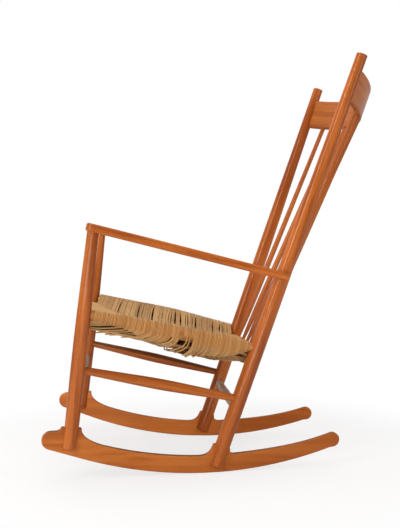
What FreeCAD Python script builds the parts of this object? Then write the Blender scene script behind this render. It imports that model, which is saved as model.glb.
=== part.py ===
import FreeCAD, Part
import math
import os

# Spindle-back rocking chair in turned and bent wood, with a seat woven from paper cord.
# All lengths are millimetres and all angles are degrees.
# X points to the sitter's left, Y to the rear and Z up.
# The chair stands as it rests when empty, with both rockers on the floor.

# Side frames: the plane of each side, seen from the floor contact of its rocker
contact_half_width = 194.1
toe_in_angle = 6.75
splay_angle = 4.65

# Rockers: places run back along the side frame from the floor contact
rocker_thickness = 14.0
rocker_depth = 45.0
rocker_sole_radius = 1030.0
rocker_edge_radius = 3.0
rocker_worn_place = 0.0
rocker_worn_length = 44.0
rocker_front_straight = 332.0
rocker_knob_radius = 23.0
rocker_knob_centre = 407.8
rocker_knob_flat = 12.0
rocker_tail_sole_end = 306.0
rocker_tail_tip_place = 328.7
rocker_tail_tip_depth = 16.8
rocker_tail_tip_radius = 19.1
rocker_horn_blend = 45.0
rocker_horn_back_blend = 14.0
rocker_horn_corner_radius = 3.6
front_horn_front = 26.5
front_horn_back = 25.2
rear_horn_front = 25.0
rear_horn_back = 22.2

# Front legs: distances run up the axis from the floor
front_leg_foot = 371.3
front_leg_rake = 5.96
front_leg_seat_over_knob = 7.3
front_leg_cheek_length = 57.6
front_leg_foot_radius = 17.6
front_leg_belly_radius = 18.3
front_leg_top_radius = 13.4
leg_dome_height = 6.5

# Back posts
post_foot = 2.9
post_rake = 18.88
post_bottom = 12.6
post_seat = 71.6
post_length = 1130.9
post_foot_radius = 19.2
post_seat_radius = 19.0
post_top_radius = 14.2
post_dome_height = 3.0

# Seat rails and stretchers: heights are measured up the side frame
front_rail_height = 395.3
rear_rail_height = 298.0
side_rail_front_rise = 23.1
side_rail_rear_rise = 22.6
side_stretcher_front_height = 280.6
side_stretcher_rear_height = 189.9
front_stretcher_height = 240.3
rear_stretcher_height = 163.2
rail_end_radius = 9.5
side_rail_mid_radius = 15.5
front_rail_mid_radius = 15.0
rear_rail_radius = 10.0
rear_rail_bow = 16.0
stretcher_end_radius = 9.0
side_stretcher_mid_radius = 14.0
cross_stretcher_mid_radius = 12.5
tenon_past_axis = 4.0

# Arms
arm_thickness = 20.0
arm_front_radius = 17.6
arm_mid_half_width = 23.0
arm_rear_half_width = 12.0
arm_front_height = 627.0
arm_rear_height = 507.6
arm_outset = 20.5
arm_rear_overhang = 7.0
arm_edge_radius = 5.0
arm_lap_gap = 0.3
leg_tenon_radius = 8.0
leg_tenon_length = 14.0
arm_dowel_radius = 4.0
arm_dowel_in_post = 13.0
arm_dowel_in_arm = 9.0

# Crest rail: distances run up the back posts from the floor
crest_bottom = 1005.5
crest_height = 86.0
crest_thickness = 15.0
crest_bow = 82.5
crest_offset = 5.7
crest_edge_radius = 4.0

# Spindles
spindle_count = 7
spindle_top_spacing = 58.7
spindle_bottom_spacing = 53.9
spindle_belly_radius = 8.0
spindle_top_radius = 6.2
spindle_tenon_radius = 4.5
spindle_crest_tenon_radius = 4.0
spindle_crest_tenon_length = 14.0
spindle_rail_neck = 13.0
spindle_past_rail_axis = 3.0

# Woven seat
cord_diameter = 3.5
seat_sag = 8.0
seat_top_dip = 20.0

# Fits
joint_gap = 0.1
tenon_end_gap = 1.0
weave_gap = 0.3
cut_overrun = 60.0

# Turning profiles: share of the length, then share of the way from the end radius to the full one
swell_shares = [(0, 0), (0.2, 0.4), (0.4, 0.87), (0.5, 1), (0.6, 0.87), (0.8, 0.4), (1, 0)]
front_leg_shares = [(0, 0), (0.14, 0.3), (0.47, 1)]
front_leg_upper_shares = [(0.85, 0.34), (1, 0)]
post_lower_shares = [(0, 0), (0.29, 1)]
post_upper_shares = [(0.46, 0.9), (0.64, 0.62), (0.8, 0.28), (0.9, 0.1), (1, 0)]
spindle_lower_shares = [(0.03, 0.35), (0.12, 0.8), (0.28, 1)]
spindle_upper_shares = [(0.5, 0.78), (0.76, 0.26), (1, 0)]
arm_widest_share = 0.4
quarter_reach_share = 0.5523
seat_section_shares = [0, 0.3, 0.65, 1]

X_AXIS = FreeCAD.Vector(1, 0, 0)
Z_AXIS = FreeCAD.Vector(0, 0, 1)
CENTRE = FreeCAD.Vector(0, 0, 0)


def sin(angle):
    return math.sin(math.radians(angle))


def cos(angle):
    return math.cos(math.radians(angle))


def unit(vector):
    return vector / vector.Length


# Side frame axes: outward normal, backward and upward, for the sitter's left side
side_flat_out = FreeCAD.Vector(cos(toe_in_angle), sin(toe_in_angle), 0)
side_back = FreeCAD.Vector(-sin(toe_in_angle), cos(toe_in_angle), 0)
side_up = side_flat_out * sin(splay_angle) + Z_AXIS * cos(splay_angle)
side_out = side_flat_out * cos(splay_angle) - Z_AXIS * sin(splay_angle)
side_contact = FreeCAD.Vector(contact_half_width, 0, 0)


def in_side(place, height, out=0):
    """World point of a place in the plane of the left side frame."""
    return side_contact + side_back * place + side_up * height + side_out * out


def side_direction(rake):
    """Direction of a leg that leans back by rake in the side frame."""
    return side_back * sin(rake) + side_up * cos(rake)


front_leg_axis = side_direction(front_leg_rake)
post_axis = side_direction(post_rake)
front_leg_origin = in_side(-front_leg_foot, 0)
post_origin = in_side(post_foot, 0)


def front_leg_at_height(height):
    return front_leg_origin + front_leg_axis * (height / cos(front_leg_rake))


def post_at_height(height):
    return post_origin + post_axis * (height / cos(post_rake))


def on_mid_plane(point):
    return FreeCAD.Vector(0, point.y, point.z)


def mirrored(point):
    return FreeCAD.Vector(-point.x, point.y, point.z)


# Back frame axes: both posts lie in one plane that leans back
back_up = unit(FreeCAD.Vector(0, post_axis.y, post_axis.z))
back_rear = FreeCAD.Vector(0, back_up.z, -back_up.y)


def turn_to(x_axis, z_axis, origin):
    """Placement that carries local X and Z to the given directions."""
    rotation = FreeCAD.Rotation(x_axis, z_axis.cross(x_axis), z_axis, "ZXY")
    return FreeCAD.Placement(origin, rotation)


def placed(shape, placement):
    moved = shape.copy()
    moved.Placement = placement.multiply(shape.Placement)
    return moved


def across(shape):
    """The same shape on the sitter's right."""
    return shape.mirror(CENTRE, X_AXIS)


def line(start, end):
    return Part.makeLine(start, end)


def arc(start, middle, end):
    return Part.Arc(start, middle, end).toShape()


def blend(start, start_direction, end, end_direction, reach):
    """Smooth curve that leaves start and reaches end in the given directions."""
    curve = Part.BezierCurve()
    first = start + unit(start_direction) * reach
    last = end - unit(end_direction) * reach
    curve.setPoles([start, first, last, end])
    return curve.toShape()


def quarter(corner, before, after, radius):
    """Rounded square corner between two directions of travel."""
    start = corner - unit(before) * radius
    end = corner + unit(after) * radius
    return blend(start, before, end, after, radius * quarter_reach_share)


def smooth(points):
    curve = Part.BSplineCurve()
    curve.interpolate(points)
    return curve.toShape()


def dome_middle(radius, height, base, way):
    """Middle point of the arc of a shallow dome on a bar's end."""
    ball = (radius * radius + height * height) / (height + height)
    half_turn = math.asin(radius / ball) / 2
    drop = ball - height
    return FreeCAD.Vector(ball * math.sin(half_turn), 0, base + way * (ball * math.cos(half_turn) - drop))


def revolved(edges):
    face = Part.Face(Part.Wire(edges))
    return face.revolve(CENTRE, Z_AXIS, 360)


def profile_points(stations):
    return [FreeCAD.Vector(radius, 0, distance) for distance, radius in stations]


def turned(stations, start_dome=0, end_dome=0):
    """Round bar about local Z through (distance, radius) stations, with domed or flat ends."""
    points = profile_points(stations)
    first = points[0]
    last = points[-1]
    start_tip = FreeCAD.Vector(0, 0, first.z - start_dome)
    end_tip = FreeCAD.Vector(0, 0, last.z + end_dome)
    edges = []
    if start_dome:
        edges.append(arc(start_tip, dome_middle(first.x, start_dome, first.z, -1), first))
    else:
        edges.append(line(start_tip, first))
    edges.append(smooth(points))
    if end_dome:
        edges.append(arc(last, dome_middle(last.x, end_dome, last.z, 1), end_tip))
    else:
        edges.append(line(last, end_tip))
    edges.append(line(end_tip, start_tip))
    return revolved(edges)


def along(start, end, shape):
    """Stand a shape made about local Z at start, pointing to end."""
    direction = unit(end - start)
    reference = X_AXIS
    if abs(direction.x) > abs(direction.z):
        reference = Z_AXIS
    side = unit(reference - direction * reference.dot(direction))
    return placed(shape, turn_to(side, direction, start))


def swelled_bar(start, end, end_radius, mid_radius, allowance=0, end_allowance=0):
    """Turned bar, thickest in the middle, whose ends are its own tenons."""
    length = (end - start).Length
    stations = []
    for place_share, swell_share in swell_shares:
        radius = end_radius + (mid_radius - end_radius) * swell_share + allowance
        stations.append((length * place_share, radius))
    stations[0] = (-end_allowance, stations[0][1])
    stations[-1] = (length + end_allowance, stations[-1][1])
    return along(start, end, turned(stations))


def past(start, end):
    """Lengthen a bar between two leg axes so that its tenons pass them."""
    direction = unit(end - start)
    return start - direction * tenon_past_axis, end + direction * tenon_past_axis


# Rockers

def sole_point(place, depth=0):
    """Point a depth above the curved sole, square to it."""
    turn = math.asin(place / rocker_sole_radius)
    reach = rocker_sole_radius - depth
    return FreeCAD.Vector(reach * math.sin(turn), rocker_sole_radius - reach * math.cos(turn), 0)


def sole_direction(place):
    turn = math.asin(place / rocker_sole_radius)
    return FreeCAD.Vector(math.cos(turn), math.sin(turn), 0)


def front_knob():
    """Centre of the rocker's round knob, and where the knob leaves the straight end of the sole."""
    way = sole_direction(-rocker_front_straight)
    start = sole_point(-rocker_front_straight)
    square_way = FreeCAD.Vector(-way.y, way.x, 0)
    bottom_place = rocker_knob_centre + square_way.x * rocker_knob_radius
    run = (bottom_place - rocker_front_straight) / way.x
    on_line = start - way * run
    return on_line + square_way * rocker_knob_radius, on_line


knob_top_height = front_knob()[0].y + rocker_knob_radius
front_leg_seat = (knob_top_height + front_leg_seat_over_knob) / cos(front_leg_rake)
front_leg_bottom = front_leg_seat - front_leg_cheek_length


def leg_corner(foot, rake, distance, behind):
    """Corner of the flat that carries a leg, in the rocker's own plane."""
    place = foot + distance * sin(rake) + behind * cos(rake)
    height = distance * cos(rake) - behind * sin(rake)
    return FreeCAD.Vector(place, height, 0)


def rocker_outline():
    straight_start = sole_point(-rocker_front_straight)
    knob_centre, on_line = front_knob()
    knob_top = knob_centre + FreeCAD.Vector(0, rocker_knob_radius, 0)
    knob_front = knob_centre - FreeCAD.Vector(rocker_knob_radius, 0, 0)
    knob_flat_end = knob_top + FreeCAD.Vector(rocker_knob_flat, 0, 0)

    front_a = leg_corner(-front_leg_foot, front_leg_rake, front_leg_seat, -front_horn_front)
    front_b = leg_corner(-front_leg_foot, front_leg_rake, front_leg_seat, front_horn_back)
    rear_a = leg_corner(post_foot, post_rake, post_seat, -rear_horn_front)
    rear_b = leg_corner(post_foot, post_rake, post_seat, rear_horn_back)
    front_up = FreeCAD.Vector(sin(front_leg_rake), cos(front_leg_rake), 0)
    rear_up = FreeCAD.Vector(sin(post_rake), cos(post_rake), 0)

    top_front_place = front_b.x + rocker_horn_blend
    top_rear_place = rear_a.x - rocker_horn_blend
    top_front = sole_point(top_front_place, rocker_depth)
    top_rear = sole_point(top_rear_place, rocker_depth)
    top_middle = sole_point((top_front_place + top_rear_place) / 2, rocker_depth)

    tail_start_place = rear_b.x + rocker_horn_back_blend
    tail_start = sole_point(tail_start_place, rocker_depth)
    tip_centre = sole_point(rocker_tail_tip_place, rocker_tail_tip_depth)
    tip_way = sole_direction(rocker_tail_tip_place)
    tip_square = FreeCAD.Vector(-tip_way.y, tip_way.x, 0)
    tip_top = tip_centre + tip_square * rocker_tail_tip_radius
    tip_bottom = tip_centre - FreeCAD.Vector(0, rocker_tail_tip_radius, 0)
    tip_back = tip_centre + FreeCAD.Vector(rocker_tail_tip_radius, 0, 0)
    sole_end = sole_point(rocker_tail_sole_end)
    worn_front_place = rocker_worn_place - rocker_worn_length / 2
    worn_rear_place = rocker_worn_place + rocker_worn_length / 2
    worn_front = sole_point(worn_front_place)
    worn_rear = sole_point(worn_rear_place)
    front_sole_middle = sole_point((worn_front_place - rocker_front_straight) / 2)
    rear_sole_middle = sole_point((worn_rear_place + rocker_tail_sole_end) / 2)

    tail_way = sole_direction(tail_start_place)
    top_rear_way = -sole_direction(top_rear_place)
    top_front_way = -sole_direction(top_front_place)
    tail_reach = (tip_top - tail_start).Length / 3
    beak_reach = (tip_bottom - sole_end).Length / 3
    front_reach = rocker_horn_blend / 2
    back_reach = rocker_horn_back_blend / 2
    front_across = FreeCAD.Vector(-front_up.y, front_up.x, 0)
    rear_across = FreeCAD.Vector(-rear_up.y, rear_up.x, 0)
    corner = rocker_horn_corner_radius
    return [
        arc(straight_start, front_sole_middle, worn_front),
        line(worn_front, worn_rear),
        arc(worn_rear, rear_sole_middle, sole_end),
        blend(sole_end, sole_direction(rocker_tail_sole_end), tip_bottom, X_AXIS, beak_reach),
        arc(tip_bottom, tip_back, tip_top),
        blend(tip_top, -tip_way, tail_start, -tail_way, tail_reach),
        blend(tail_start, -tail_way, rear_b - rear_up * corner, rear_up, back_reach),
        quarter(rear_b, rear_up, rear_across, corner),
        line(rear_b + rear_across * corner, rear_a - rear_across * corner),
        quarter(rear_a, rear_across, -rear_up, corner),
        blend(rear_a - rear_up * corner, -rear_up, top_rear, top_rear_way, front_reach),
        arc(top_rear, top_middle, top_front),
        blend(top_front, top_front_way, front_b - front_up * corner, front_up, front_reach),
        quarter(front_b, front_up, front_across, corner),
        line(front_b + front_across * corner, front_a - front_across * corner),
        quarter(front_a, front_across, -front_up, corner),
        blend(front_a - front_up * corner, -front_up, knob_flat_end, -X_AXIS, corner),
        line(knob_flat_end, knob_top),
        arc(knob_top, knob_front, on_line),
        line(on_line, straight_start),
    ]


def rocker():
    board = Part.Face(Part.Wire(rocker_outline())).extrude(Z_AXIS * rocker_thickness)
    board = board.makeFillet(rocker_edge_radius, edges_across(board, rocker_thickness))
    middle = in_side(0, 0, -rocker_thickness / 2)
    return placed(board, turn_to(side_back, side_out, middle))


def edges_across(board, thickness):
    """Edges of a flat board that lie on its two faces."""
    chosen = []
    for edge in board.Edges:
        heights = [vertex.Z for vertex in edge.Vertexes]
        if max(heights) - min(heights) < thickness / 2:
            chosen.append(edge)
    return chosen


# Legs

def fork_cut(axis, origin, seat_distance):
    """Slot that lets a leg straddle its rocker, up to the flat that carries it."""
    slot_width = rocker_thickness + joint_gap + joint_gap
    width = cut_overrun + cut_overrun
    height = seat_distance + cut_overrun
    slot = Part.makeBox(slot_width, width, height)
    slot.translate(FreeCAD.Vector(-slot_width / 2, -cut_overrun, -cut_overrun))
    return placed(slot, turn_to(side_out, axis, origin))


def share_stations(shares, start, length, low_radius, high_radius):
    stations = []
    for place_share, swell_share in shares:
        radius = low_radius + (high_radius - low_radius) * swell_share
        stations.append((start + length * place_share, radius))
    return stations


def front_leg_shape(allowance=0):
    """Turned front leg, still long at the top and not yet forked."""
    length = arm_front_height - front_leg_bottom
    start = front_leg_bottom + leg_dome_height
    foot = front_leg_foot_radius + allowance
    belly = front_leg_belly_radius + allowance
    top = front_leg_top_radius + allowance
    lower = share_stations(front_leg_shares, start, length, foot, belly)
    upper = share_stations(front_leg_upper_shares, start, length, top, belly)
    leg = turned(lower + upper, start_dome=leg_dome_height)
    return placed(leg, turn_to(side_out, front_leg_axis, front_leg_origin))


def post_shape(allowance=0):
    """Turned back post before any joint is cut in it."""
    start = post_bottom + leg_dome_height
    length = post_length - post_dome_height - start
    foot = post_foot_radius + allowance
    belly = post_seat_radius + allowance
    top = post_top_radius + allowance
    lower = share_stations(post_lower_shares, start, length, foot, belly)
    upper = share_stations(post_upper_shares, start, length, top, belly)
    post = turned(lower + upper, start_dome=leg_dome_height, end_dome=post_dome_height)
    return placed(post, turn_to(side_out, post_axis, post_origin))


def bored(leg, bars):
    """Cut a bore for the tenon of each bar that enters the leg."""
    for bar in bars:
        leg = leg.cut(bar(joint_gap, tenon_end_gap))
    return leg


def front_leg():
    leg = front_leg_shape().cut(above_arm_underside())
    leg = leg.fuse(leg_top_tenon())
    leg = leg.cut(fork_cut(front_leg_axis, front_leg_origin, front_leg_seat))
    return bored(leg, [side_seat_rail, side_stretcher, front_seat_rail, front_stretcher])


def back_post():
    post = post_shape()
    post = post.cut(fork_cut(post_axis, post_origin, post_seat))
    bars = [side_seat_rail, side_stretcher, rear_rail_bar, rear_stretcher, crest_board, arm_dowel]
    return bored(post, bars)


# Arms: local X runs back along the arm, local Y outward and local Z up

arm_front = front_leg_at_height(arm_front_height)
arm_back = post_at_height(arm_rear_height) + side_out * arm_outset
arm_along = unit(arm_back - arm_front)
arm_across = unit(arm_along.cross(Z_AXIS))
arm_up = arm_across.cross(arm_along)
arm_length = (arm_back - arm_front).Length + arm_rear_overhang


def arm_placement(out=0, up=0):
    origin = arm_front + arm_across * out + arm_up * up
    rotation = FreeCAD.Rotation(arm_along, arm_across.negative(), arm_up, "ZXY")
    return FreeCAD.Placement(origin, rotation)


def arm_side(way):
    """One long edge of the arm seen from above, tangent to its round front end."""
    front = FreeCAD.Vector(0, way * arm_front_radius, 0)
    widest = FreeCAD.Vector(arm_length * arm_widest_share, way * arm_mid_half_width, 0)
    rear = FreeCAD.Vector(arm_length, way * arm_rear_half_width, 0)
    curve = Part.BSplineCurve()
    curve.interpolate(Points=[front, widest, rear], InitialTangent=X_AXIS, FinalTangent=unit(rear - widest))
    return curve.toShape()


def arm_blank():
    inner = arm_side(1)
    outer = arm_side(-1)
    nose = arc(
        FreeCAD.Vector(0, -arm_front_radius, 0),
        FreeCAD.Vector(-arm_front_radius, 0, 0),
        FreeCAD.Vector(0, arm_front_radius, 0))
    butt = line(
        FreeCAD.Vector(arm_length, arm_rear_half_width, 0),
        FreeCAD.Vector(arm_length, -arm_rear_half_width, 0))
    face = Part.Face(Part.Wire([nose, inner, butt, outer]))
    blank = face.extrude(Z_AXIS * arm_thickness)
    blank = blank.makeFillet(arm_edge_radius, edges_across(blank, arm_thickness))
    return placed(blank, arm_placement(up=-arm_thickness / 2))


def above_arm_underside():
    """Block of everything above the arm's flat underside."""
    size = arm_length + cut_overrun
    block = Part.makeBox(size + size, size + size, size)
    block.translate(FreeCAD.Vector(-size, -size, 0))
    return placed(block, arm_placement(up=-arm_thickness / 2 - joint_gap))


def leg_top_tenon(allowance=0, end_allowance=0):
    underside = arm_front_height / cos(front_leg_rake) - arm_thickness / 2
    radius = leg_tenon_radius + allowance
    start = underside - leg_tenon_length
    length = leg_tenon_length + leg_tenon_length + end_allowance
    tenon = Part.makeCylinder(radius, length)
    tenon.translate(Z_AXIS * start)
    return placed(tenon, turn_to(side_out, front_leg_axis, front_leg_origin))


def arm_dowel(allowance=0, end_allowance=0):
    """Hidden dowel between the arm and the outer side of the post."""
    post_centre = post_at_height(arm_rear_height)
    start = post_centre + side_out * (post_seat_radius - arm_dowel_in_post - end_allowance)
    length = arm_dowel_in_post + arm_dowel_in_arm + end_allowance + end_allowance
    dowel = Part.makeCylinder(arm_dowel_radius + allowance, length)
    return placed(dowel, turn_to(side_back, side_out, start))


def arm():
    blank = arm_blank()
    blank = blank.cut(post_shape(arm_lap_gap))
    blank = blank.cut(leg_top_tenon(joint_gap, tenon_end_gap))
    return blank.cut(arm_dowel(joint_gap, tenon_end_gap))


# Seat rails and stretchers

def side_bar(front_height, rear_height, end_radius, mid_radius, allowance=0, end_allowance=0):
    start, end = past(front_leg_at_height(front_height), post_at_height(rear_height))
    return swelled_bar(start, end, end_radius, mid_radius, allowance, end_allowance)


def cross_bar(end_point, end_radius, mid_radius, allowance=0, end_allowance=0):
    start, end = past(mirrored(end_point), end_point)
    return swelled_bar(start, end, end_radius, mid_radius, allowance, end_allowance)


def side_seat_rail(allowance=0, end_allowance=0):
    return side_bar(front_rail_height + side_rail_front_rise, rear_rail_height + side_rail_rear_rise,
                    rail_end_radius, side_rail_mid_radius, allowance, end_allowance)


def side_stretcher(allowance=0, end_allowance=0):
    return side_bar(side_stretcher_front_height, side_stretcher_rear_height,
                    stretcher_end_radius, side_stretcher_mid_radius, allowance, end_allowance)


def front_seat_rail(allowance=0, end_allowance=0):
    return cross_bar(front_leg_at_height(front_rail_height),
                     rail_end_radius, front_rail_mid_radius, allowance, end_allowance)


def front_stretcher(allowance=0, end_allowance=0):
    return cross_bar(front_leg_at_height(front_stretcher_height),
                     stretcher_end_radius, cross_stretcher_mid_radius, allowance, end_allowance)


def rear_stretcher(allowance=0, end_allowance=0):
    return cross_bar(post_at_height(rear_stretcher_height),
                     stretcher_end_radius, cross_stretcher_mid_radius, allowance, end_allowance)


# Bowed pieces of the back: each lies on an arc square to the lean of the posts

def bow_radius(half_width, bow):
    return (half_width * half_width + bow * bow) / (bow + bow)


def bow_at(x, half_width, bow):
    """How far an arc between the posts stands behind their plane at x."""
    radius = bow_radius(half_width, bow)
    return math.sqrt(radius * radius - x * x) - (radius - bow)


def bow_placement(centre, bow, radius):
    """Placement whose origin is the centre of curvature and whose local Z leans as the back."""
    origin = centre + back_rear * (bow - radius)
    return FreeCAD.Placement(origin, FreeCAD.Rotation(X_AXIS, back_rear, back_up, "ZXY"))


rear_rail_end = post_at_height(rear_rail_height)
rear_rail_centre = on_mid_plane(rear_rail_end)
rear_rail_curve = bow_radius(rear_rail_end.x, rear_rail_bow)


def rear_rail_bar(allowance=0, end_allowance=0):
    """Bent round rail that carries the seat's back edge and the spindles."""
    half_length = rear_rail_end.x + tenon_past_axis + end_allowance
    half_angle = math.degrees(math.asin(half_length / rear_rail_curve))
    middle = FreeCAD.Vector(0, rear_rail_curve, 0)
    section = Part.Face(Part.Wire(Part.makeCircle(rear_rail_radius + allowance, middle, X_AXIS)))
    section.rotate(CENTRE, Z_AXIS, -half_angle)
    rail = section.revolve(CENTRE, Z_AXIS, half_angle + half_angle)
    return placed(rail, bow_placement(rear_rail_centre, rear_rail_bow, rear_rail_curve))


crest_foot = on_mid_plane(post_origin + post_axis * crest_bottom)
crest_half_width = (post_origin + post_axis * (crest_bottom + crest_height / 2)).x
crest_curve = bow_radius(crest_half_width, crest_bow)


def crest_board(allowance=0, end_allowance=0):
    """Bent board between the tops of the posts."""
    half_length = crest_half_width + end_allowance
    half_angle = math.asin(half_length / crest_curve)
    outer = crest_curve + crest_thickness / 2 + allowance
    inner = crest_curve - crest_thickness / 2 - allowance
    bend_sine = math.sin(half_angle)
    bend_cosine = math.cos(half_angle)
    outer_end = FreeCAD.Vector(outer * bend_sine, outer * bend_cosine, -allowance)
    inner_end = FreeCAD.Vector(inner * bend_sine, inner * bend_cosine, -allowance)
    outer_top = FreeCAD.Vector(0, outer, -allowance)
    inner_top = FreeCAD.Vector(0, inner, -allowance)
    outer_start = mirrored(outer_end)
    inner_start = mirrored(inner_end)
    wire = Part.Wire([
        arc(outer_start, outer_top, outer_end),
        line(outer_end, inner_end),
        arc(inner_end, inner_top, inner_start),
        line(inner_start, outer_start)])
    height = crest_height + allowance + allowance
    board = Part.Face(wire).extrude(Z_AXIS * height)
    if not allowance:
        board = board.makeFillet(crest_edge_radius, long_edges(board, crest_half_width))
    centre = crest_foot + back_rear * crest_offset
    return placed(board, bow_placement(centre, crest_bow, crest_curve))


def long_edges(board, length):
    return [edge for edge in board.Edges if edge.Length > length]


def spindle_ends(number):
    """Lower end on the rear rail's axis and upper end on the crest's lower edge."""
    step = number - (spindle_count - 1) / 2
    low_x = step * spindle_bottom_spacing
    high_x = step * spindle_top_spacing
    low_bow = bow_at(low_x, rear_rail_end.x, rear_rail_bow)
    high_bow = bow_at(high_x, crest_half_width, crest_bow) + crest_offset
    low = rear_rail_centre + X_AXIS * low_x + back_rear * low_bow
    high = crest_foot + X_AXIS * high_x + back_rear * high_bow
    return low, high


def spindle_profile(length, allowance, end_allowance):
    tenon_radius = spindle_tenon_radius + allowance
    crest_radius = spindle_crest_tenon_radius + allowance
    bottom = -spindle_past_rail_axis - end_allowance
    top = length + spindle_crest_tenon_length + end_allowance
    stations = share_stations(
        spindle_lower_shares, 0, length, spindle_tenon_radius, spindle_belly_radius)
    stations += share_stations(
        spindle_upper_shares, 0, length, spindle_top_radius, spindle_belly_radius)
    stations = [(distance, radius + allowance) for distance, radius in stations]
    stations[0] = (spindle_rail_neck, tenon_radius)
    shoulder = profile_points(stations)[-1]
    low_tip = FreeCAD.Vector(0, 0, bottom)
    low_corner = FreeCAD.Vector(tenon_radius, 0, bottom)
    high_corner = FreeCAD.Vector(crest_radius, 0, length)
    high_end = FreeCAD.Vector(crest_radius, 0, top)
    high_tip = FreeCAD.Vector(0, 0, top)
    neck = profile_points(stations)[0]
    return [
        line(low_tip, low_corner),
        line(low_corner, neck),
        smooth(profile_points(stations)),
        line(shoulder, high_corner),
        line(high_corner, high_end),
        line(high_end, high_tip),
        line(high_tip, low_tip)]


def spindle(number, allowance=0, end_allowance=0):
    low, high = spindle_ends(number)
    profile = spindle_profile((high - low).Length, allowance, end_allowance)
    return along(low, high, revolved(profile))


# Woven seat

def rail_height_at(share):
    """Height and place of the front and rear rails' common plane at a share of the seat's depth."""
    front = on_mid_plane(front_leg_at_height(front_rail_height))
    rear = rear_rail_centre
    return front + (rear - front) * share


def seat_section(share):
    """Closed section of the seat across the chair, hung between the side rails."""
    front = front_leg_at_height(front_rail_height + side_rail_front_rise)
    rear = post_at_height(rear_rail_height + side_rail_rear_rise)
    edge = front + (rear - front) * share
    middle = rail_height_at(share)
    wrap = rail_end_radius + cord_diameter
    give = share * (1 - share) * 4
    right = mirrored(edge)
    top = FreeCAD.Vector(0, edge.y, middle.z + wrap - seat_top_dip * give)
    bottom = FreeCAD.Vector(0, edge.y, middle.z - wrap - seat_sag * give)
    lift = Z_AXIS * (wrap - weave_gap)
    return Part.Wire([
        arc(right + lift, top, edge + lift),
        line(edge + lift, edge - lift),
        arc(edge - lift, bottom, right - lift),
        line(right - lift, right + lift)])


def woven_seat():
    """Cord seat as one soft body wrapped round the four rails."""
    body = Part.makeLoft([seat_section(share) for share in seat_section_shares], True, True)
    sleeves = [
        front_seat_rail(cord_diameter),
        side_seat_rail(cord_diameter),
        across(side_seat_rail(cord_diameter)),
        rear_rail_bar(cord_diameter)]
    body = body.fuse(sleeves)
    hidden = [
        front_seat_rail(weave_gap, weave_gap),
        side_seat_rail(weave_gap, weave_gap),
        across(side_seat_rail(weave_gap, weave_gap)),
        rear_rail_bar(weave_gap, weave_gap),
        post_shape(weave_gap),
        across(post_shape(weave_gap)),
        front_leg_shape(weave_gap),
        across(front_leg_shape(weave_gap))]
    hidden += [spindle(number, weave_gap, weave_gap) for number in range(spindle_count)]
    body = body.cut(hidden)
    return max(body.Solids, key=lambda solid: solid.Volume)


# Bored rails

def rear_seat_rail():
    return bored(rear_rail_bar(), spindle_cuts())


def crest_rail():
    return bored(crest_board(), spindle_cuts())


def spindle_cuts():
    return [spindle_cut(number) for number in range(spindle_count)]


def spindle_cut(number):
    def cut(allowance, end_allowance):
        return spindle(number, allowance, end_allowance)
    return cut


# Assembly

def all_pieces():
    pieces = {}
    sided = {
        "rocker": rocker(),
        "front_leg": front_leg(),
        "back_post": back_post(),
        "arm": arm(),
        "arm_dowel": arm_dowel(),
        "seat_rail": side_seat_rail(),
        "stretcher": side_stretcher()}
    for name, shape in sided.items():
        pieces["left_" + name] = shape
        pieces["right_" + name] = across(shape)
    pieces["front_seat_rail"] = front_seat_rail()
    pieces["rear_seat_rail"] = rear_seat_rail()
    pieces["front_stretcher"] = front_stretcher()
    pieces["rear_stretcher"] = rear_stretcher()
    pieces["crest_rail"] = crest_rail()
    for number in range(spindle_count):
        pieces["spindle_" + str(number + 1)] = spindle(number)
    pieces["woven_seat"] = woven_seat()
    return pieces


def write_pieces():
    os.makedirs("parts", exist_ok=True)
    pieces = all_pieces()
    whole = Part.makeCompound(list(pieces.values()))
    box = whole.optimalBoundingBox(False)
    shift = FreeCAD.Vector(0, -(box.YMin + box.YMax) / 2, -box.ZMin)
    print("overall", box.XLength, box.YLength, box.ZLength, "shift", shift.y, shift.z)
    for name, shape in pieces.items():
        shape = shape.copy()
        shape.translate(shift)
        if len(shape.Solids) == 1:
            shape = shape.Solids[0]
        shape.exportStep("parts/" + name + ".step")
        print(name, len(shape.Solids), shape.isValid(), round(shape.Volume))


write_pieces()
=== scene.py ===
import math
import random

import bpy
import numpy as np
from mathutils import Matrix, Vector


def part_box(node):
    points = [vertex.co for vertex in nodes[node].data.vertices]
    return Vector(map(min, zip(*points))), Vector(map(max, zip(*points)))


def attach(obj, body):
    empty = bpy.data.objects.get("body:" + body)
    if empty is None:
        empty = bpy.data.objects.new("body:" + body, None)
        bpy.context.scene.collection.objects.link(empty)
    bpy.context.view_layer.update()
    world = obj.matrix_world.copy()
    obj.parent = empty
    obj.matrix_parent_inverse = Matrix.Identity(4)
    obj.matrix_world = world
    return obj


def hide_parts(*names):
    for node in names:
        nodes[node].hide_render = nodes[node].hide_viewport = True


# Spindle-back rocking chair with a worn seat of woven paper cord.
# Metres throughout. X points to the sitter's left, Y to the rear and Z up.

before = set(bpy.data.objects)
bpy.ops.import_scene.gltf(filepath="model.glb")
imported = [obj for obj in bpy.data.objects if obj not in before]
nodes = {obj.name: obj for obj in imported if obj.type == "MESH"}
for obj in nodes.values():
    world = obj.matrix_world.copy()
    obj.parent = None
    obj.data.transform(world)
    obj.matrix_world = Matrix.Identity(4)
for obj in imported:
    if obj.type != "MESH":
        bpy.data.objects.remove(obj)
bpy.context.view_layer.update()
scene = bpy.context.scene
scene.view_settings.view_transform = "Standard"

X = np.array((1.0, 0.0, 0.0))
Y = np.array((0.0, 1.0, 0.0))
Z = np.array((0.0, 0.0, 1.0))

# Camera: angles in degrees, lens and sensor in millimetres
CAMERA_PLACE = (2.22635, -0.22251, 0.59513)
CAMERA_YAW = 5.017
CAMERA_PITCH = 1.680
CAMERA_LENS = 54.545
CAMERA_SENSOR = 36.0

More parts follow.
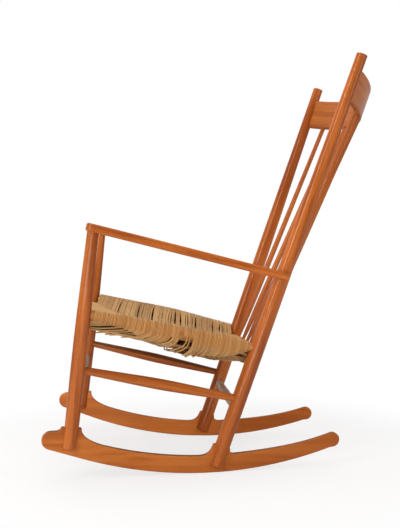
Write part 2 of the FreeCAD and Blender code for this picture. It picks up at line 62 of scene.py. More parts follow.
# Floor: a soft shadow near the chair, and white from FLOOR_SHADE_END outwards
FLOOR_SIZE = 30.0
FLOOR_COLOUR = (0.80, 0.775, 0.765)
FLOOR_GLOW = 0.72
FLOOR_SHADE_START = 0.50
FLOOR_SHADE_END = 0.95

# Studio light: dim on the camera's side and bright behind the chair
WHITE = (1, 1, 1, 1)
WORLD_FRONT = 0.10
WORLD_BEHIND = 0.85
WORLD_EDGE = -0.15
WORLD_FULL = 0.75

# Lamps: name, place, target, width, height and power in watts
CHAIR_MIDDLE = (0, 0, 0.5)
SEAT_MIDDLE = (0, 0, 0.4)
LAMPS = (
    ("front_softbox", (1.9, -2.3, 1.9), CHAIR_MIDDLE, 0.6, 1.8, 52),
    ("rear_softbox", (1.7, 2.4, 1.5), CHAIR_MIDDLE, 0.9, 1.8, 25),
    ("top_softbox", (0.2, -0.2, 3.2), CHAIR_MIDDLE, 2.4, 2.4, 62),
    ("low_softbox", (2.3, -0.9, 0.30), SEAT_MIDDLE, 1.2, 0.4, 12),
)

# Wood tones: middle, dark and light
VARNISHED = ((0.44, 0.110, 0.0165), (0.28, 0.058, 0.007), (0.58, 0.162, 0.030))
ROCKER_TONES = ((0.45, 0.125, 0.021), (0.32, 0.079, 0.012), (0.54, 0.168, 0.032))
CREST_TONES = ((0.38, 0.105, 0.022), (0.27, 0.066, 0.012), (0.47, 0.150, 0.034))
RAIL_TONES = ((0.50, 0.22, 0.07), (0.35, 0.12, 0.03), (0.62, 0.32, 0.13))
DOWEL_TONES = ((0.55, 0.35, 0.18), (0.4, 0.22, 0.1), (0.65, 0.45, 0.25))
BARE_TONES = ((0.34, 0.15, 0.06), (0.22, 0.08, 0.03), (0.45, 0.24, 0.12))
# Colour of the painted shade on upper faces
UPPER_FACE_SHADE_COLOUR = (0.09, 0.035, 0.012)
SCUFF_COLOUR = (0.12, 0.055, 0.03)
WORN_COLOUR = (0.46, 0.37, 0.30)

# How bright each kind of piece is against its tones
TURNED_SHARES = (("front_leg", 0.92), ("back_post", 0.96), ("stretcher", 0.86))
ROCKER_SHARES = {"left": 1.05, "right": 1.25}
SPINDLE_COUNT = 7
SPINDLE_SHARE = 0.86
SPINDLE_STEP = 0.04
SPINDLE_CYCLE = 3

# Painted shade on upper faces, which light reaches less: how much, and the slope where it starts and is
# full
STRETCHER_UPPER_SHADE = (0.75, 0.0, 0.45)
ROCKER_UPPER_SHADE = (0.8, 0.82, 0.94)
# Rockers darken to the rear: where that starts and is full, and how much of the dark tone
ROCKER_FADE = (-0.20, 0.30, 0.60)

# Wood patterns: stretch along the grain and across it, then noise scale, detail and roughness
STREAK_NOISE = (2.2, 34.0, 1.6, 4.0, 0.6)
BROAD_NOISE = (1.0, 7.0, 1.7, 2.0, 0.5)
FLECK_NOISE = (46.0, 900.0, 1.0, 2.0, 0.6)
SCUFF_NOISE = (26.0, 150.0, 1.0, 3.0, 0.6)
WEAR_NOISE = (14.0, 60.0, 1.0, 4.0, 0.7)
# Growth lines across the board, how far they wander and how much the streaks bend them
RING_SCALE = 620.0
RING_WANDER = 0.030
RING_BEND = 7.0
RING_SHARE = 0.34
# Where each pattern starts and is full
LIGHT_STREAKS = (0.30, 0.72)
DARK_STREAKS = (0.50, 0.34)
DARK_STREAK_SHARE = 0.65
DARK_BANDS = (0.44, 0.72)
RING_LINES = (0.35, 1.0)
FLECKS = (0.56, 0.72)
FLECK_SHARE = 0.50
SCUFFS = (0.60, 0.70)
WEAR = (0.34, 0.60)
# Varnish
WOOD_ROUGHNESS = 0.34
STREAK_ROUGHNESS = 0.22
ROUGHNESS_DROP = 0.08
WEAR_ROUGHNESS = 0.35
COAT = 0.28
COAT_ROUGHNESS = 0.10
WOOD_SPECULAR = 0.08
STREAK_HEIGHT = 0.6
FLECK_HEIGHT = 0.25
WOOD_BUMP = {"Strength": 0.12, "Distance": 0.0006}
CREST_GRAIN_RADIUS = 0.38
# The grain's sides are taken against X, but against Z where a bar runs along X by this share
SIDEWAYS = 0.8

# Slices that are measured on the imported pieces: at their ends, and along a turned bar
BAR_END = 0.0005
CREST_END = 0.004
RAIL_TIP = 0.0015
BAR_BINS = 24
BIN_SLACK = 1e-5
# Sizes of the pieces that the cords go round or keep clear of
LEG_RADIUS = 0.0178
POST_RADIUS = 0.0187
TENON_PAST_AXIS = 0.004
REAR_RAIL_RADIUS = 0.0100
REAR_RAIL_BOW = 0.0160
SPINDLE_RADIUS = 0.0078

# Paper cord
CORD = 0.0035
PITCH = 0.00358
CORD_SIDES = 8
PLY_LENGTH = 0.0050
PLIES = 3.0
SAME_POINT = 1e-6
FIRST_ACROSS = (0.3, 0.4, 0.86)

# Cord tones: dark and light cords, the same where rubbed, a stain, painted shade between the cords and in
# the grooves of their twist, and dirt patches on them
CORD_TONES = ((0.40, 0.208, 0.070), (0.64, 0.378, 0.150))
RUBBED_TONES = ((0.54, 0.215, 0.046), (0.72, 0.345, 0.104))
TINT_RANGE = (0.1, 0.9)
RUBBED_SHARE = 0.80
STAIN_COLOUR = (0.42, 0.11, 0.02)
STAIN_PLACE = 0.545
STAIN_SIZE = 0.0075
STAIN_EDGES = (1.5, 0.6)
STAIN_SHARE = 0.75
# Painted shade between the cords: colour, the slopes of a cord's side where it starts and is full, and how
# much
CREVICE_SHADE_COLOUR = (0.22, 0.085, 0.022)
CREVICE_SHADE_LIMITS = (0.50, 0.95)
CREVICE_SHADE_SHARE = 0.75
PATCH_COLOUR = (0.40, 0.22, 0.09)
PATCHES = (0.5, 0.72)
PATCH_NOISE = (26.0, 4.0, 0.65)
PATCH_SHARE = 0.35
# Painted shade in the grooves of the twist: colour, where it starts and is full, and how much
PLY_GROOVE_SHADE_COLOUR = (0.20, 0.10, 0.04)
PLY_GROOVES = (0.3, -1.0)
PLY_GROOVE_SHADE_SHARE = 0.35
PLY_HEIGHT = 0.7
FIBRE_NOISE = (900.0, 2.0, 0.7)
FIBRE_HEIGHT = 0.5
CORD_ROUGHNESS = 0.72
CORD_SPECULAR = 0.3
CORD_BUMP = {"Strength": 0.5, "Distance": 0.0004}

# The seat's layers
TOP_DIP = 0.014
BOTTOM_SAG = 0.012
EDGE_SUPPORT = 0.55
UNDER_DROOP = 0.022
DROOP_PLACE = 0.62
DROOP_WIDTH = 0.26
APEX_SHARE = 0.54
SEAM_LENGTH = 0.012
FRONT_CURVE = 2.2
SQUARE_OFF = 0.13
INNER_ROUNDS = 6

# The first and last cord's gap to the corner
CORNER_GAP = 0.4 * CORD
# A cord's way round a rail: turns are in radians, from the side where the seat lies
STRAIGHT_DOWN = 1.5 * math.pi
RING_STEP = 0.24
RING_STEPS_LEAST = 9
CLEAR_OF_RAIL = 1.02
HANG_TURN = 0.25
SWEEP_START = 0.60
SWEEP_POWER = 1.5
RUN_STEPS = 5
SIDE_RUN_STEPS = 7
OVER_STEPS = 8
# Hidden ends: how far front cords stay from the rear rail and run on under the side cords, how far
# they part there, how far rear cords run on, and the two steps inwards and down of a tucked end
FRONT_END_GAP = 0.03
FRONT_HIDDEN = 0.02
HIDDEN_LIFT = 1.5
REAR_HIDDEN = 5
TUCK = ((0.9, 0.8), (1.1, 3.2))

# Random numbers: a seed for each group of cords, and seed and knots of each smooth random line
SIDE_SEED = 40
SIDE_WIGGLES = ((50, 38), (60, 9), (70, 22))
FRONT_SEED = 81
FRONT_WIGGLES = ((82, 22), (83, 40))
REAR_SEED = 91
REAR_WIGGLES = ((92, 18), (93, 34))
STRAY_SEED = 101

# Unevenness of the cords, in cord widths
RISE = 0.10
RADIUS_JITTER = 0.08
PLACE_JITTER = 0.10
PLACE_DRIFT = 0.2
DROP_JITTER = 0.12
LOOSE_DROP = 0.9
SAG = 0.3
PUSH_JITTER = 0.12
LOOSE_PUSH = 1.5
WAVE = 0.10
LOOSE_WAVE = 0.9
PATH_JITTER = 0.12
LIFT_JITTER = 0.10
CLUMP_SWEEP = 1.6
FRONT_SLACK = 1.1
FRONT_SLACK_JITTER = 0.5
REAR_SLACK = 0.6
# Unevenness of the loose loops as shares of their hang, the hang at which clumps sway in full, and
# how far all rear cords hang
HANG_JITTER = 0.10
HANG_CLUMP = 0.12
HANG_FULL = 0.012
REAR_HANG = 0.003
# Top cords dip between rail and seam, in full where they run this far, and are soon pushed aside
OVER_DIP = 0.0025
OVER_FULL = 0.1
OVER_SPREAD = 3.0

# Loose loops under the near rail: place along the rail, hang below it and sweep to the front
LOOPS = (
    (0.00, 0.0000, 0.000), (0.20, 0.0000, 0.000), (0.30, 0.0050, 0.010), (0.35, 0.0090, 0.018),
    (0.40, 0.0110, 0.022), (0.45, 0.0125, 0.024), (0.53, 0.0180, 0.024), (0.60, 0.0270, 0.022),
    (0.65, 0.0310, 0.014), (0.70, 0.0315, 0.010), (0.75, 0.0260, 0.007), (0.80, 0.0200, 0.005),
    (0.85, 0.0155, 0.004), (0.90, 0.0120, 0.003), (0.95, 0.0065, 0.001), (1.00, 0.0000, 0.000),
)
# Hills along a rail, as place, width and height: how slack the cords are, by side, and how the near
# wraps swell. The far wraps swell as place and height say
SIDE_LOOSE = {1: ((0.52, 0.10, 0.7), (0.82, 0.06, 0.6)), -1: ((0.62, 0.10, 1.6), (0.90, 0.05, 1.4))}
NEAR_BULK = ((0.84, 0.07, 0.0065), (1.0, 0.03, -0.003))
FAR_BULK = ((0.0, 0.0040), (0.3, 0.0035), (0.6, 0.0050), (1.0, 0.0030))
# Where cords have parted on top: place along the near rail and along the far rail
SEAMS = {1: (0.11, 0.27, 0.37), -1: (0.17, 0.31, 0.42)}
PART_REACH = 7
PART_PUSH = 0.55
# Tear under the near rail: all cords are broken in the first range and some in the second
TEAR = (0.535, 0.575)
TEAR_EDGES = (0.46, 0.63)
TEAR_CHANCE = 0.34
TEAR_LEVEL = 0.62
FRAY_OUT = 0.002
FRAY = 0.003
# Rubbed part of a wrap: how far out it starts, over what distance it grows, and where it ends below
RUB_START = 0.30
RUB_GROWTH = 0.45
RUB_LOW = 1.5
RUB_FADE = 0.5

# Slack cords that fan out under the front of the near rail: their heights and where they start
FAN_LEVELS = (0.398, 0.3945, 0.391, 0.3875, 0.3795, 0.3732, 0.368, 0.3625, 0.360, 0.3535)
FAN_START = -0.330
FAN_PACKED = 0.373
FAN_DELAY = 4.35
FAN_TOP = 0.3999
FAN_SLOPE = 0.253
FAN_LEAD = 0.013
FAN_TAIL = 0.025
FAN_SHARES = (0.0, 0.25, 0.6, 1.0)
FAN_INSET = 0.004
FAN_STEP = 0.003
FAN_JITTER = 0.0004
# Slack cords that run forward from the near post: places along the rail and how far they fall there
SLACK_COUNT = 4
SLACK_PLACES = (0.99, 0.90, 0.80, 0.72)
SLACK_FALLS = (1, 1.3, 1.4, 1.0)
SLACK_START = 0.06
SLACK_REACH = 0.88
SLACK_FALL = 0.006
SLACK_FALL_STEP = 0.0015
SLACK_INSET = 0.006
SLACK_STEP = 0.011
SLACK_JITTER = 0.001
CURVE_STEPS = 7

# Tints of the cords: middle and spread of each group
SIDE_TINT = (0.5, 0.30)
TINT_DRIFT = 0.22
FRONT_TINT = (0.66, 0.3)
REAR_TINT = (0.5, 0.3)
FAN_TINT = 0.95
SLACK_TINT = 0.6


def unit(vector):
    vector = np.asarray(vector, float)
    return vector / np.linalg.norm(vector)


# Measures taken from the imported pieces

def node_points(name):
    mesh = nodes[name].data
    flat = np.empty(len(mesh.vertices) * 3)
    mesh.vertices.foreach_get("co", flat)
    return flat.reshape(-1, 3)


def bar_axis(name):
    """Both ends of a straight bar's centre line."""
    points = node_points(name)
    middle = points.mean(axis=0)
    scatter = (points - middle).T @ (points - middle)
    direction = np.linalg.eigh(scatter)[1][:, 2]
    place = (points - middle) @ direction
    first = points[place < place.min() + BAR_END].mean(axis=0)
    last = points[place > place.max() - BAR_END].mean(axis=0)
    return [first, last]


class Bar:
    """Centre line and radius of a turned bar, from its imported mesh."""

    def __init__(self, name, towards):
        self.start, self.end = bar_axis(name)
        if (self.end - self.start) @ np.asarray(towards) < 0:
            self.start, self.end = self.end, self.start
        self.length = np.linalg.norm(self.end - self.start)
        self.direction = (self.end - self.start) / self.length
        points = node_points(name)
        place = (points - self.start) @ self.direction
        radius = np.linalg.norm(points - self.start - np.outer(place, self.direction), axis=1)
        bins = np.linspace(0, self.length, BAR_BINS)
        self.places, self.radii = [], []
        for low, high in zip(bins[:-1], bins[1:]):
            inside = (place >= low - BIN_SLACK) & (place <= high + BIN_SLACK)
            if inside.any():
                best = np.argmax(np.where(inside, radius, 0))
                self.places.append(place[best])
                self.radii.append(radius[best])
        order = np.argsort(self.places)
        self.places = np.array(self.places)[order]
        self.radii = np.array(self.radii)[order]

    def at(self, place):
        return self.start + self.direction * place

    def radius(self, place):
        return float(np.interp(place, self.places, self.radii))


# Directions of the back, which leans to the rear
post_low, post_high = sorted(bar_axis("left_back_post"), key=lambda point: point[2])
back_up = unit((0, post_high[1] - post_low[1], post_high[2] - post_low[2]))
back_rear = np.array((0.0, back_up[2], -back_up[1]))


# Shader nodes

class Tree:
    """Small helper that adds shader nodes and links them in one call."""

    def __init__(self, material):
        self.tree = material.node_tree

    def add(self, kind, inputs=None, **settings):
        node = self.tree.nodes.new(kind)
        for name, value in settings.items():
            setattr(node, name, value)
        for key, value in (inputs or {}).items():
            self.set(node.inputs[key], value)
        return node

    def set(self, socket, value):
        if isinstance(value, bpy.types.NodeSocket):
            self.tree.links.new(value, socket)
        else:
            socket.default_value = value

    def math(self, operation, first, second=0.0, third=0.0):
        return self.add("ShaderNodeMath", {0: first, 1: second, 2: third}, operation=operation).outputs[0]

    def place(self):
        return self.add("ShaderNodeTexCoord").outputs["Object"]

    def dot(self, vector, direction):
        node = self.add("ShaderNodeVectorMath", {0: vector, 1: tuple(direction)}, operation="DOT_PRODUCT")
        return node.outputs["Value"]

    def away_from(self, origin):
        node = self.add("ShaderNodeVectorMath", {0: self.place(), 1: tuple(origin)}, operation="SUBTRACT")
        return node.outputs[0]

    def length(self, vector):
        return self.add("ShaderNodeVectorMath", {0: vector}, operation="LENGTH").outputs["Value"]

    def noise(self, vector, scale, detail, roughness):
        inputs = {"Vector": vector, "Scale": scale, "Detail": detail, "Roughness": roughness}
        return self.add("ShaderNodeTexNoise", inputs).outputs["Fac"]

    def grain_noise(self, grain, lengthwise, crosswise, scale, detail, roughness):
        """Noise that is drawn out along the grain."""
        stretches = (lengthwise, crosswise, crosswise)
        parts = [self.math("MULTIPLY", part, stretch) for part, stretch in zip(grain, stretches)]
        place = self.add("ShaderNodeCombineXYZ", dict(enumerate(parts))).outputs[0]
        return self.noise(place, scale, detail, roughness)

    def ramp(self, factor, low, high):
        """Factor stretched so that low gives 0 and high gives 1, with soft ends."""
        node = self.add("ShaderNodeMapRange", {"Value": factor, "From Min": low, "From Max": high},
                        interpolation_type="SMOOTHSTEP")
        return node.outputs["Result"]

    def mix(self, factor, first, second):
        node = self.add("ShaderNodeMix", data_type="RGBA", blend_type="MIX")
        self.set(node.inputs[0], factor)
        for socket, colour in ((node.inputs[6], first), (node.inputs[7], second)):
            self.set(socket, (*colour, 1) if isinstance(colour, tuple) else colour)
        return node.outputs[2]

    def layer(self, colour, tone, factor, limits, share):
        """Colour with a tone over it where the factor lies between its limits."""
        return self.mix(self.math("MULTIPLY", self.ramp(factor, *limits), share), colour, tone)

    def finish(self, colour, roughness, height, bump_settings, gloss):
        """Principled surface with a fine bump, linked to the output."""
        bump = self.add("ShaderNodeBump", {"Height": height, **bump_settings})
        inputs = {"Base Color": colour, "Roughness": roughness, "Normal": bump.outputs[0], **gloss}
        surface = self.add("ShaderNodeBsdfPrincipled", inputs)
        self.add("ShaderNodeOutputMaterial", {"Surface": surface.outputs[0]})


def new_material(name):
    material = bpy.data.materials.new(name)
    material.use_nodes = True
    material.node_tree.nodes.clear()
    return material


# Camera, floor and light

def make_camera():
    yaw, pitch = math.radians(CAMERA_YAW), math.radians(CAMERA_PITCH)
    ahead = Vector((-math.cos(yaw) * math.cos(pitch), math.sin(yaw) * math.cos(pitch), -math.sin(pitch)))
    right = ahead.cross(Vector((0, 0, 1))).normalized()
    up = right.cross(ahead)
    camera = bpy.data.objects.new("camera", bpy.data.cameras.new("camera"))
    scene.collection.objects.link(camera)
    turn = Matrix((right, up, -ahead)).transposed().to_4x4()
    camera.matrix_world = Matrix.Translation(CAMERA_PLACE) @ turn
    camera.data.lens = CAMERA_LENS
    camera.data.sensor_width = CAMERA_SENSOR
    scene.camera = camera


def make_floor():
    """Pale floor that keeps the chair's soft shadow and melts into white further out."""
    bpy.ops.mesh.primitive_plane_add(size=FLOOR_SIZE, location=(0, 0, 0))
    floor = bpy.context.object
    floor.name = "floor"
    material = new_material("floor")
    tree = Tree(material)
    glow = tree.ramp(tree.length(tree.place()), FLOOR_SHADE_START, FLOOR_SHADE_END)
    glow = tree.math("ADD", tree.math("MULTIPLY", glow, 1 - FLOOR_GLOW), FLOOR_GLOW)
    seen = tree.add("ShaderNodeLightPath").outputs["Is Camera Ray"]
    diffuse = tree.add("ShaderNodeBsdfDiffuse", {"Color": (*FLOOR_COLOUR, 1)})
    white = tree.add("ShaderNodeEmission", {"Strength": 1.0})
    inputs = {0: tree.math("MULTIPLY", seen, glow), 1: diffuse.outputs[0], 2: white.outputs[0]}
    surface = tree.add("ShaderNodeMixShader", inputs)
    tree.add("ShaderNodeOutputMaterial", {"Surface": surface.outputs[0]})
    floor.data.materials.append(material)


def make_world():
    """White to the eye and behind the chair, dim on the camera's side as in a dark studio."""
    world = bpy.data.worlds.new("studio")
    scene.world = world
    world.use_nodes = True
    world.node_tree.nodes.clear()
    tree = Tree(world)
    way = tree.add("ShaderNodeTexCoord").outputs["Generated"]
    behind = tree.ramp(tree.math("MULTIPLY", tree.dot(way, X), -1.0), WORLD_EDGE, WORLD_FULL)
    level = tree.math("ADD", tree.math("MULTIPLY", behind, WORLD_BEHIND - WORLD_FRONT), WORLD_FRONT)
    soft = tree.add("ShaderNodeBackground", {"Color": WHITE, "Strength": level})
    white = tree.add("ShaderNodeBackground", {"Color": WHITE, "Strength": 1.0})
    path = tree.add("ShaderNodeLightPath")
    seen = tree.math("MAXIMUM", path.outputs["Is Camera Ray"], path.outputs["Is Transmission Ray"])
    surface = tree.add("ShaderNodeMixShader", {0: seen, 1: soft.outputs[0], 2: white.outputs[0]})
    tree.add("ShaderNodeOutputWorld", {"Surface": surface.outputs[0]})


def make_lights():
    for name, place, target, width, height, power in LAMPS:
        light = bpy.data.lights.new(name, "AREA")
        light.shape = "RECTANGLE"
        light.size = width
        light.size_y = height
        light.energy = power
        lamp = bpy.data.objects.new(name, light)
        scene.collection.objects.link(lamp)
        lamp.location = place
        lamp.rotation_mode = "QUATERNION"
        lamp.rotation_quaternion = (Vector(target) - Vector(place)).to_track_quat("-Z", "Y")


# Wood

def straight_grain(name):
    """Grain of a straight piece: distance along it, and two distances across."""
    start, end = bar_axis(name)
    along = unit(end - start)
    side = unit(np.cross(along, X if abs(along[0]) < SIDEWAYS else Z))
    other = np.cross(along, side)

    def grain(tree):
        place = tree.away_from(start)
        return tree.dot(place, along), tree.dot(place, side), tree.dot(place, other)

    return grain


def crest_grain():
    """Grain that follows the bend of the crest rail: along the bend, up, and out from its centre."""
    low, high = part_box("crest_rail")
    half = (high.x - low.x) / 2
    points = node_points("crest_rail")
    depth = points @ back_rear
    bow = depth.max() - depth[np.abs(points[:, 0]) > half - CREST_END].mean()
    radius = (half * half + bow * bow) / (2 * bow)
    middle = points[np.argmax(depth)]
    centre = np.array((0.0, middle[1], middle[2])) - back_rear * radius

    def grain(tree):
        place = tree.away_from(centre)
        across = tree.dot(place, X)
        back = tree.dot(place, back_rear)
        turn = tree.math("ARCTAN2", across, back)
        squares = tree.math("ADD", tree.math("MULTIPLY", across, across), tree.math("MULTIPLY", back, back))
        out = tree.math("SQRT", squares)
        return tree.math("MULTIPLY", turn, CREST_GRAIN_RADIUS), tree.dot(place, back_up), out

    return grain


def wood(name, grain, tones, rings=0.5, rough=WOOD_ROUGHNESS, coat=COAT, grime=None, worn=0.0, fade=None,
         scuffs=0.0):
    """Varnished wood: long streaks, growth lines, fine flecks, what use has done to it, and painted shade
    on upper faces.
    """
    base, dark, light = tones
    material = new_material(name)
    tree = Tree(material)
    grain = grain(tree)
    streak = tree.grain_noise(grain, *STREAK_NOISE)
    broad = tree.grain_noise(grain, *BROAD_NOISE)
    fleck = tree.grain_noise(grain, *FLECK_NOISE)
    wander = tree.math("MULTIPLY", tree.math("SUBTRACT", broad, 0.5), RING_WANDER)
    ring = tree.math("MULTIPLY", tree.math("ADD", grain[1], wander), RING_SCALE)
    ring = tree.math("SINE", tree.math("ADD", ring, tree.math("MULTIPLY", streak, RING_BEND)))

    colour = tree.mix(tree.ramp(streak, *LIGHT_STREAKS), base, light)
    colour = tree.layer(colour, dark, streak, DARK_STREAKS, DARK_STREAK_SHARE)
    colour = tree.mix(tree.ramp(broad, *DARK_BANDS), colour, dark)
    colour = tree.layer(colour, dark, ring, RING_LINES, RING_SHARE * rings)
    colour = tree.layer(colour, dark, fleck, FLECKS, FLECK_SHARE)
    # Painted shade: upward faces darken, as where the seat shades the far stretcher from above
    if grime:
        share, start, full = grime
        slope = tree.dot(tree.add("ShaderNodeNewGeometry").outputs["Normal"], Z)
        colour = tree.layer(colour, UPPER_FACE_SHADE_COLOUR, slope, (start, full), share)
    if scuffs:
        scuff = tree.grain_noise(grain, *SCUFF_NOISE)
        colour = tree.layer(colour, SCUFF_COLOUR, scuff, SCUFFS, scuffs)
    if fade:
        start, full, share = fade
        colour = tree.layer(colour, dark, tree.dot(tree.place(), Y), (start, full), share)
    rough = tree.math("ADD", tree.math("MULTIPLY", streak, STREAK_ROUGHNESS), rough - ROUGHNESS_DROP)
    if worn:
        bare = tree.grain_noise(grain, *WEAR_NOISE)
        bare = tree.math("MULTIPLY", tree.ramp(bare, *WEAR), worn)
        colour = tree.mix(bare, colour, WORN_COLOUR)
        rough = tree.math("ADD", rough, tree.math("MULTIPLY", bare, WEAR_ROUGHNESS))
    height = tree.math("ADD", tree.math("MULTIPLY", streak, STREAK_HEIGHT),
                       tree.math("MULTIPLY", fleck, FLECK_HEIGHT))
    gloss = {"Specular IOR Level": WOOD_SPECULAR, "Coat Weight": coat, "Coat Roughness": COAT_ROUGHNESS}
    tree.finish(colour, rough, height, WOOD_BUMP, gloss)
    return material


def scaled(tones, share):
    return tuple(tuple(part * share for part in tone) for tone in tones)


def dress(name, slot, tones, grain=None, **settings):
    """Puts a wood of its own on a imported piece."""
    material = wood(name, grain or straight_grain(name), tones, **settings)
    piece = nodes[name]
    piece.data.materials.clear()
    piece.data.materials.append(material)
    for face in piece.data.polygons:
        face.material_index = 0


def dress_wood():
    for side in ("left", "right"):
        for part, share in TURNED_SHARES:
            name = side + "_" + part
            # The far stretcher's upper face gets painted shade, standing in for the seat's shadow
            grime = STRETCHER_UPPER_SHADE if name == "right_stretcher" else None
            dress(name, "turned_wood", scaled(VARNISHED, share), grime=grime, scuffs=0.25)
        # The rockers' top edges get painted shade
        dress(side + "_rocker", "rocker_wood", scaled(ROCKER_TONES, ROCKER_SHARES[side]), rings=0.35,
              rough=0.42, coat=0.12, grime=ROCKER_UPPER_SHADE, fade=ROCKER_FADE)
        dress(side + "_arm", "arm_wood", VARNISHED, rings=0.9, scuffs=0.55)
        dress(side + "_arm_dowel", "dowel_wood", DOWEL_TONES, coat=0.0)
    for side in ("left", "right", "front", "rear"):
        dress(side + "_seat_rail", "rail_wood", RAIL_TONES, coat=0.1)
    for side in ("front", "rear"):
        dress(side + "_stretcher", "worn_wood", BARE_TONES, rough=0.45, coat=0.1, worn=0.9)
    for number in range(1, SPINDLE_COUNT + 1):
        share = SPINDLE_SHARE + SPINDLE_STEP * (number % SPINDLE_CYCLE)
        dress("spindle_%d" % number, "spindle_wood", scaled(VARNISHED, share), rings=0.3)
    dress("crest_rail", "crest_wood", CREST_TONES, crest_grain(), rings=0.4, coat=0.10)


# Woven seat: its rails and the lines where its four triangles meet

left_rail = Bar("left_seat_rail", Y)
front_rail = Bar("front_seat_rail", X)
rear_points = node_points("rear_seat_rail")
rear_half = rear_points[:, 0].max()
rear_tip = rear_points[rear_points[:, 0] > rear_half - RAIL_TIP].mean(axis=0)
rear_curve = (rear_half * rear_half + REAR_RAIL_BOW * REAR_RAIL_BOW) / (2 * REAR_RAIL_BOW)


def rear_rail_at(x):
    """Centre of the bent rear rail at x."""
    end = math.sqrt(rear_curve * rear_curve - rear_half * rear_half)
    bow = math.sqrt(rear_curve * rear_curve - x * x) - end
    return np.array((x, rear_tip[1], rear_tip[2])) + back_rear * bow


corner_front = np.array((front_rail.end[0] - TENON_PAST_AXIS - LEG_RADIUS, front_rail.end[1]))
corner_rear = np.array((rear_half - TENON_PAST_AXIS - POST_RADIUS, rear_tip[1]))
seat_front = corner_front[1]
seat_rear = rear_rail_at(0)[1]
apex = seat_front + (corner_rear[1] - seat_front) * APEX_SHARE
seam_end = apex + SEAM_LENGTH


def front_diagonal(x, way):
    """How far back the front triangle reaches at x, on the top (1) or underneath (-1)."""
    share = min(1.0, abs(x) / corner_front[0])
    if way > 0:
        share = share ** (1 / FRONT_CURVE)
    return seat_front + (apex - seat_front) * (1 - share)


def rear_diagonal(x):
    """How far forward the rear triangle reaches at x."""
    share = min(1.0, abs(x) / corner_rear[0])
    return corner_rear[1] + (seam_end - corner_rear[1]) * (1 - share)


def side_diagonal(y, way):
    """How far from the middle a side triangle reaches at y."""
    if y < apex:
        share = (apex - max(y, seat_front)) / (apex - seat_front)
        return corner_front[0] * share ** (FRONT_CURVE if way > 0 else 1)
    if y > seam_end:
        return corner_rear[0] * (y - seam_end) / (corner_rear[1] - seam_end)
    return 0.0


def half_width(y):
    share = (y - corner_front[1]) / (corner_rear[1] - corner_front[1])
    return corner_front[0] + (corner_rear[0] - corner_front[0]) * share


def hill(share, middle, width):
    """Smooth hill of height 1 around a share of a rail's length."""
    reach = (share - middle) / width
    return math.exp(-reach * reach)


def hills(share, rows):
    return sum(size * hill(share, middle, width) for middle, width, size in rows)


def looked_up(share, rows, column):
    """Value in a table's column at a share of a rail's length."""
    table = np.array(rows)
    return float(np.interp(share, table[:, 0], table[:, column]))


def layer_height(x, y, way):
    """Height of the front-to-back cords: way is 1 on the top and -1 underneath."""
    front = front_rail.at(front_rail.length / 2 + x)
    rear = rear_rail_at(max(-rear_half, min(rear_half, x)))
    share = (y - front[1]) / (rear[1] - front[1])
    share = max(0.0, min(1.0, share))
    reach = front_rail.radius(front_rail.length / 2 + x) * (1 - share) + REAR_RAIL_RADIUS * share + CORD / 2
    middle = front[2] + (rear[2] - front[2]) * share
    across = min(1.0, abs(x) / half_width(y))
    give = 4 * share * (1 - share) * (1 - EDGE_SUPPORT * across * across)
    if way > 0:
        return middle + reach - TOP_DIP * give
    return middle - reach - BOTTOM_SAG * give - UNDER_DROOP * hill(share, DROOP_PLACE, DROOP_WIDTH)


def between_layers(x, y):
    """Height halfway between the top and the underside."""
    return (layer_height(x, y, 1) + layer_height(x, y, -1)) / 2


def under_level(x, y):
    """Height of the side cords underneath: level with the rail at the edge, lower in the middle."""
    place = (y - left_rail.start[1]) / left_rail.direction[1]
    place = max(0.0, min(left_rail.length, place))
    centre = left_rail.at(place)
    edge = centre[2] - left_rail.radius(place) - CORD / 2
    middle = layer_height(0.0, y, -1) - CORD
    return middle + (edge - middle) * min(1.0, abs(x) / centre[0])


# Paths of the cords

class Wiggle:
    """Smooth random line through a given number of knots, which has some to spare at its ends."""

    SPARE = 4

    def __init__(self, seed, count):
        chooser = random.Random(seed)
        self.knots = [chooser.uniform(-1.0, 1.0) for _ in range(count + self.SPARE)]

    def at(self, share):
        place = max(0.0, min(1.0, share)) * (len(self.knots) - self.SPARE) + 1
        whole = int(place)
        part = place - whole
        part = part * part * (3 - 2 * part)
        return self.knots[whole] * (1 - part) + self.knots[whole + 1] * part


def wobble(chooser, size):
    return size * chooser.uniform(-1, 1)


def wrap_path(centre, inward, up, radius, top_end, bottom_end, hang=0.0, sweep=0.0):
    """Cord round the outside of a rail, from underneath to the top.

    The ends are where the cord goes next, in the plane of the wrap or close to it. A loose cord
    hangs below the rail and is swept to the front at its lowest point.
    """
    def tangent(end, way):
        across = (end - centre) @ inward
        rise = (end - centre) @ up
        distance = max(math.hypot(across, rise), radius * CLEAR_OF_RAIL)
        return math.atan2(rise, across) + way * math.acos(radius / distance)

    top_turn = tangent(top_end, 1)
    bottom_turn = tangent(bottom_end, -1) + 2 * math.pi
    if hang:
        bottom_turn = STRAIGHT_DOWN + HANG_TURN
    count = max(RING_STEPS_LEAST, int((bottom_turn - top_turn) / RING_STEP))
    ring = []
    for step in range(count + 1):
        turn = bottom_turn + (top_turn - bottom_turn) * step / count
        low = max(0.0, -math.sin(turn))
        point = centre + inward * (radius * math.cos(turn)) + up * (radius * math.sin(turn) - hang * low)
        under = max(0.0, (low - SWEEP_START) / (1 - SWEEP_START))
        ring.append(point - Y * sweep * under ** SWEEP_POWER)
    return ring


def between(start, end, count):
    return [start + (end - start) * (step / count) for step in range(1, count)]


def tucked(end, inward, way):
    """Short run that takes a cord down between the two layers, or up from underneath."""
    return [end + inward * (CORD * reach) - Z * (way * CORD * depth) for reach, depth in TUCK]


def parted(share, seams, step):
    """Sideways push next to a seam where the cords have parted, in cord widths."""
    push = 0.0
    for seam in seams:
        away = (share - seam) / step
        if abs(away) < PART_REACH:
            push += math.copysign(PART_PUSH * (1 - abs(away) / PART_REACH), away)
    return push


